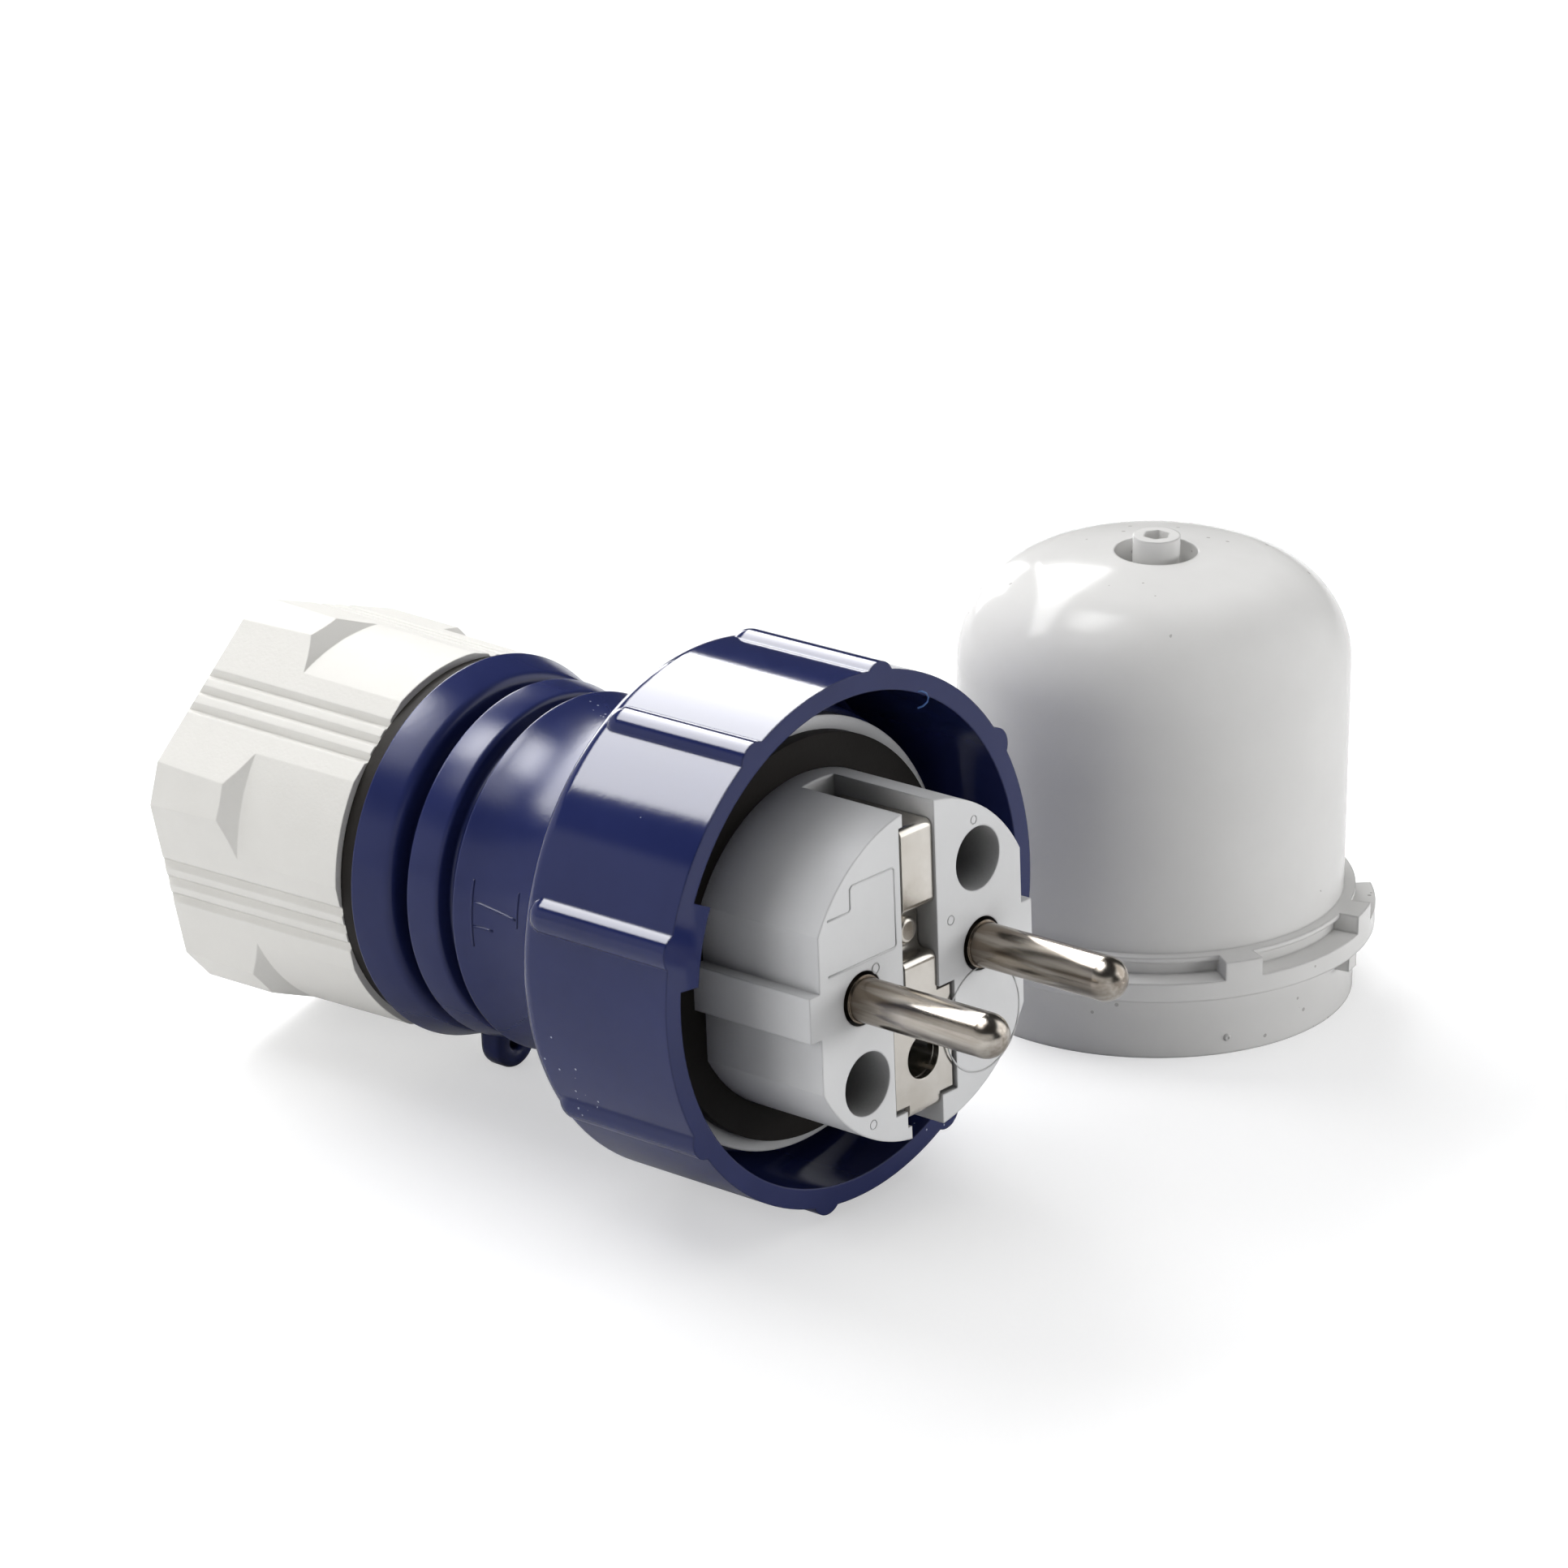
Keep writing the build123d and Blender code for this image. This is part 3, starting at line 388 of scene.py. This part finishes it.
waist_stations = [WAIST_FRONT - WAIST_STEP * step for step in range(WAIST_STEPS)]
thread_stations = [SHOULDER_REAR - LIP - THREAD_STEP * step for step in range(THREAD_STEPS)]
corners = [
    (CAVITY_RADIUS, FLANGE_FRONT, LIP),
    (FLANGE_RADIUS, FLANGE_FRONT, 0.4),
    (FLANGE_RADIUS, FLANGE_REAR, 0.4),
    (HUB_RADIUS, FLANGE_REAR, 0.0),
    (HUB_RADIUS, HUB_REAR, LIP),
    *[(waist(station), station, 0.0) for station in waist_stations],
    (BEAD_RADIUS, -48.6, LIP),
    (GROOVE_RADIUS, -49.2, LIP),
    (GROOVE_RADIUS, -51.2, LIP),
    (19.15, -51.6, 0.5),
    (BEAD_RADIUS, -55.35, 0.25),
    (GROOVE_RADIUS, -55.9, LIP),
    (GROOVE_RADIUS, -57.5, LIP),
    (BEAD_RADIUS, -57.9, 0.9),
    (SHOULDER_RADIUS, SHOULDER_REAR, LIP),
    (SPIGOT_RADIUS, SHOULDER_REAR, 0.0),
    *[(SPIGOT_RADIUS, station, 0.0) for station in thread_stations],
    (16.4, SPIGOT_REAR, 0.0),
    (SPIGOT_BORE, SPIGOT_REAR, LIP),
    (SPIGOT_BORE, SEAT_REAR, 0.0),
    (SEAT_BORE, SEAT_REAR, LIP),
    (SEAT_BORE, SEAT_FRONT, LIP),
    (NECK_BORE, NECK_REAR, 0.0),
    (NECK_BORE, NECK_FRONT, 0.0),
    (CAVITY_RADIUS, CAVITY_REAR, 0.0),
]
shell = bmesh.new()
lathe(shell, rounded(corners), 192, threaded)

# Eyelet under the shoulder
EYE_HEIGHT, EYE_RADIUS, EYE_HOLE, EYE_ROOT = -22.64, 3.0, 0.8, 5.4
EYE_TURNS = [2 * pi * step / 64 for step in range(64)]


def eyelet_reach(turn):
    """Round below and straight-sided up into the shoulder."""
    upward = cos(turn)
    if upward <= 0.001:
        return EYE_RADIUS
    return min(EYE_RADIUS / max(abs(sin(turn)), 0.001), EYE_ROOT / upward)


rows = []
for station, shrink in ((-59.7, 0.35), (-59.95, 0.1), (-60.2, 0.0), (-61.9, 0.0), (-62.3, 0.1)):
    outer, inner = [], []
    for turn in EYE_TURNS:
        for edge, reach in ((outer, eyelet_reach(turn) - shrink), (inner, EYE_HOLE + shrink)):
            edge.append(shell.verts.new(at(reach * sin(turn), EYE_HEIGHT + reach * cos(turn), station)))
    rows.append((outer, inner))
for (outer, inner), (next_outer, next_inner) in zip(rows, rows[1:]):
    joined(shell, outer, next_outer)
    joined(shell, next_inner, inner)
for outer, inner in (rows[0], rows[-1]):
    joined(shell, outer, inner)

# Fine moulding lines on the neck: (degrees, station) of the start, the step and the number of points
for angle, station, angle_step, station_step, count in (
    (164.0, -46.3, 1.0, 0.0, 23),
    (164.5, -40.4, 1.0, 0.0, 13),
    (171.0, -46.0, 0.32, 0.6, 10),
    (179.0, -46.1, 0.15, 0.6, 5),
):
    points = []
    for step in range(count):
        here = station + station_step * step
        points.append(around(waist(here) + 0.02, radians(angle + angle_step * step), here))
    bead(shell, points, 0.11)
housing = new_piece("housing_moulded", shell, blue, "plug")
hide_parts("housing")

# Face of the contact carrier: plain border lines, a bare round field and ejector marks
BORDER = (
    (-14.6, 3.95), (-11.0, 3.95), (-7.5, 3.95), (-4.3, 3.95), (-4.0, 4.25), (-4.0, 8.0), (-4.0, 12.4),
    (-4.3, 12.7), (-7.5, 12.7), (-10.6, 12.7), (-10.9, 12.4), (-10.9, 10.3), (-11.2, 10.0), (-14.5, 10.0),
)
ROUND_MARKS = (
    (9.3, -8.3, 5.9, 0.11),
    (-7.32, 2.63, 0.55, 0.07),
    (8.74, 14.0, 0.45, 0.06),
    (4.66, 4.1, 0.5, 0.06),
    (-8.5, -14.4, 0.5, 0.06),
)
face_lines = bmesh.new()
bead(face_lines, [at(u, v, 0.0) for u, v in BORDER], 0.12)
for u, v, radius, thickness in ROUND_MARKS:
    turns = [2 * pi * step / 48 for step in range(48)]
    circle = [at(u + radius * cos(turn), v + radius * sin(turn), 0.0) for turn in turns]
    bead(face_lines, circle, thickness, 6, True)
new_piece("carrier_face_lines", face_lines, insert, "plug")

# A loose curl of moulding flash at the ring's front edge
CURL = (
    (10.3, 25.9, -8.6), (10.9, 25.75, -8.4), (11.4, 25.4, -8.25), (11.65, 24.9, -8.2), (11.55, 24.4, -8.3),
    (11.1, 24.05, -8.5), (10.5, 23.95, -8.7),
)
curl = bmesh.new()
bead(curl, [at(u, v, station) for u, v, station in CURL], 0.10)
new_piece("ring_flash", curl, flash_blue, "ring")

# A moulding pip on the cap's skirt: a low button with an eased rim and a shallow dimple, facing outwards
PIP_REACH, PIP_HEIGHT, PIP_SIDES = 23.2, 1.94, 24
PIP_ANGLE = radians(-29.0)
PIP_OUTWARD = Vector((cos(PIP_ANGLE), sin(PIP_ANGLE), 0))
PIP_SIDEWAYS = Vector((-sin(PIP_ANGLE), cos(PIP_ANGLE), 0))
UPRIGHT = Vector((0, 0, 1))
PIP_CENTRE = CAP + (PIP_OUTWARD * PIP_REACH + UPRIGHT * PIP_HEIGHT) * MM
PIP_PROFILE = [(0.46, -0.5, 0.0), (0.46, 0.16, 0.12), (0.30, 0.40, 0.12), (0.12, 0.34, 0.06)]
pip = bmesh.new()
rings = []
for radius, depth in rounded(PIP_PROFILE):
    offsets = [
        PIP_OUTWARD * depth + PIP_SIDEWAYS * (radius * cos(turn)) + UPRIGHT * (radius * sin(turn))
        for turn in (2 * pi * step / PIP_SIDES for step in range(PIP_SIDES))
    ]
    rings.append([pip.verts.new(PIP_CENTRE + offset * MM) for offset in offsets])
for ring, following in zip(rings, rings[1:]):
    joined(pip, ring, following)
pip.faces.new(rings[0])
pip.faces.new(rings[-1])
new_piece("cap_pip", pip, cap_grey, "plug")

# Floor, a little paler to the camera than to the light
FLOOR_SIZE = 8.0
FLOOR_GLOW = 0.47
floor_material, nodes, links, shader = new_material("floor")
coords = nodes.new("ShaderNodeTexCoord")
paper = noise(nodes, links, coords, 3.0)
tone = ramp(nodes, links, paper.outputs["Fac"], [(0.3, (0.82, 0.82, 0.825)), (0.7, (0.84, 0.84, 0.845))])
shader.inputs["Roughness"].default_value = 0.6
shader.inputs["Specular IOR Level"].default_value = 0.2
shader.inputs["Emission Color"].default_value = (1.0, 1.0, 1.0, 1.0)
to_camera = nodes.new("ShaderNodeLightPath").outputs["Is Camera Ray"]
glow = spread(nodes, links, to_camera, 0.0, FLOOR_GLOW)
links.new(glow.outputs["Result"], shader.inputs["Emission Strength"])
paler = mixed(nodes, links, to_camera, tone.outputs["Color"], (0.60, 0.60, 0.605))
links.new(paler, shader.inputs["Base Color"])
bpy.ops.mesh.primitive_plane_add(size=FLOOR_SIZE, location=(0, 0, 0))
floor = bpy.context.object
floor.name = "floor"
floor.data.materials.append(floor_material)

# The room: what lights the object, what its gloss mirrors, and the white that the camera sees
world = bpy.data.worlds.new("studio")
bpy.context.scene.world = world
world.use_nodes = True
world_nodes = world.node_tree.nodes
world_links = world.node_tree.links
room = world_nodes["Background"]
mirrored = world_nodes.new("ShaderNodeBackground")
seen = world_nodes.new("ShaderNodeBackground")
room.inputs["Strength"].default_value = 0.06
seen.inputs["Strength"].default_value = 1.0
for background in (room, seen, mirrored):
    background.inputs["Color"].default_value = (1.0, 1.0, 1.0, 1.0)
direction = world_nodes.new("ShaderNodeTexCoord").outputs["Generated"]
rays = world_nodes.new("ShaderNodeLightPath")


def combined(operation, *terms):
    return calculated(world_nodes, world_links, operation, *terms).outputs[0]


def along(axis):
    """How far a mirrored ray points along an axis."""
    product = world_nodes.new("ShaderNodeVectorMath")
    product.operation = "DOT_PRODUCT"
    product.inputs[1].default_value = axis
    world_links.new(direction, product.inputs[0])
    return product.outputs["Value"]


def step_between(value, low, high, soft):
    """1 inside a span and 0 outside, with soft ends."""
    size = combined("ABSOLUTE", combined("SUBTRACT", value, (low + high) / 2))
    half = (high - low) / 2
    edge = spread(world_nodes, world_links, size, 0.0, 1.0, half + soft, half - soft)
    edge.interpolation_type = "SMOOTHSTEP"
    return edge.outputs["Result"]


def panel(aim, side, half_width, half_height, strength, soft):
    """A lamp panel that only reflections show: a patch of the room round one direction."""
    aim = Vector(aim).normalized()
    side = (Vector(side) - aim * aim.dot(Vector(side))).normalized()
    patch = combined("MULTIPLY", step_between(along(side), -half_width, half_width, soft),
                     step_between(along(aim.cross(side)), -half_height, half_height, soft))
    front = combined("GREATER_THAN", along(aim), 0.0)
    return combined("MULTIPLY", combined("MULTIPLY", patch, front), strength)


# Mirrored room: pale walls low at the front and left, dark above and behind, and the lamp panels
walls = combined("MULTIPLY", step_between(along((-0.35, -0.93, 0.0)), 0.0, 2.0, 0.25),
                 step_between(along((0.0, 0.0, 1.0)), -1.0, 0.44, 0.03))
total = combined("MULTIPLY_ADD", walls, 0.75, 0.06)
strip = combined("MULTIPLY", step_between(along(OUT), -0.70, -0.566, 0.012),
                 step_between(along((0.0, 0.980, -0.199)), -0.518, 0.518, 0.012))
strip = combined("MULTIPLY", strip, combined("GREATER_THAN", along((0.0, 0.0, 1.0)), 0.0))
total = combined("ADD", total, combined("MULTIPLY", strip, 18.0))
for aim, side, width, height, strength, soft in (
    ((-0.39, -0.07, 0.91), (1.0, 0.0, 0.0), 0.12, 0.20, 22.0, 0.10),
    ((-0.885, 0.44, 0.12), (0.44, 0.885, 0.0), 0.17, 0.24, 8.0, 0.02),
    ((0.60, 0.72, 0.35), (1.0, 0.0, 0.0), 0.45, 0.40, 1.8, 0.15),
    ((-0.22, -0.30, 0.93), (1.0, 0.0, 0.0), 0.20, 0.30, 5.0, 0.12),
):
    total = combined("ADD", total, panel(aim, side, width, height, strength, soft))
world_links.new(total, mirrored.inputs["Strength"])


def chosen(factor, otherwise, then):
    """One shader where the factor is 0 and another where it is 1."""
    node = world_nodes.new("ShaderNodeMixShader")
    world_links.new(factor, node.inputs["Fac"])
    world_links.new(otherwise, node.inputs[1])
    world_links.new(then, node.inputs[2])
    return node.outputs["Shader"]


lit = chosen(rays.outputs["Is Glossy Ray"], room.outputs["Background"], mirrored.outputs["Background"])
whole = chosen(rays.outputs["Is Camera Ray"], lit, seen.outputs["Background"])
world_links.new(whole, world_nodes["World Output"].inputs["Surface"])

# Lamps, all aimed at the middle of the object
LAMP_TARGET = Vector((0.0, 0.0, 0.03))
for name, place, width, height, power in (
    ("key", (-0.73, 0.11, 0.70), 0.95, 0.34, 7.6),
    ("key_back", (-0.75, 0.55, 0.62), 0.60, 0.34, 2.6),
    ("fill", (0.87, 0.48, 0.17), 1.00, 0.26, 5.4),
    ("left", (-0.30, -0.90, 0.40), 0.60, 0.60, 4.2),
    ("overhead", (0.10, 0.0, 1.00), 1.20, 1.20, 5.2),
):
    light = bpy.data.lights.new(name, "AREA")
    light.shape = "RECTANGLE"
    light.size = width
    light.size_y = height
    light.energy = power
    lamp = bpy.data.objects.new(name, light)
    bpy.context.scene.collection.objects.link(lamp)
    lamp.location = place
    lamp.rotation_euler = (LAMP_TARGET - Vector(place)).to_track_quat("-Z", "Y").to_euler()
    lamp.visible_glossy = False

# Camera, at the photograph's angle
AZIMUTH = radians(41.571)
ELEVATION = radians(22.156)
FOCAL_PIXELS, PHOTO_PIXELS, SENSOR = 8366.0, 1932.0, 36.0
right = Vector((cos(AZIMUTH), sin(AZIMUTH), 0))
back = Vector((sin(AZIMUTH) * cos(ELEVATION), -cos(AZIMUTH) * cos(ELEVATION), sin(ELEVATION)))
above = back.cross(right)
camera_data = bpy.data.cameras.new("camera")
camera_data.sensor_width = SENSOR
camera_data.lens = FOCAL_PIXELS / PHOTO_PIXELS * SENSOR
camera = bpy.data.objects.new("camera", camera_data)
bpy.context.scene.collection.objects.link(camera)
place = FACE + (right * -14.36 + above * 19.29 + back * 702.04) * MM
turn = Matrix((right, above, back)).transposed().to_4x4()
camera.matrix_world = Matrix.Translation(place) @ turn
bpy.context.scene.camera = camera
bpy.context.scene.view_settings.view_transform = "Standard"
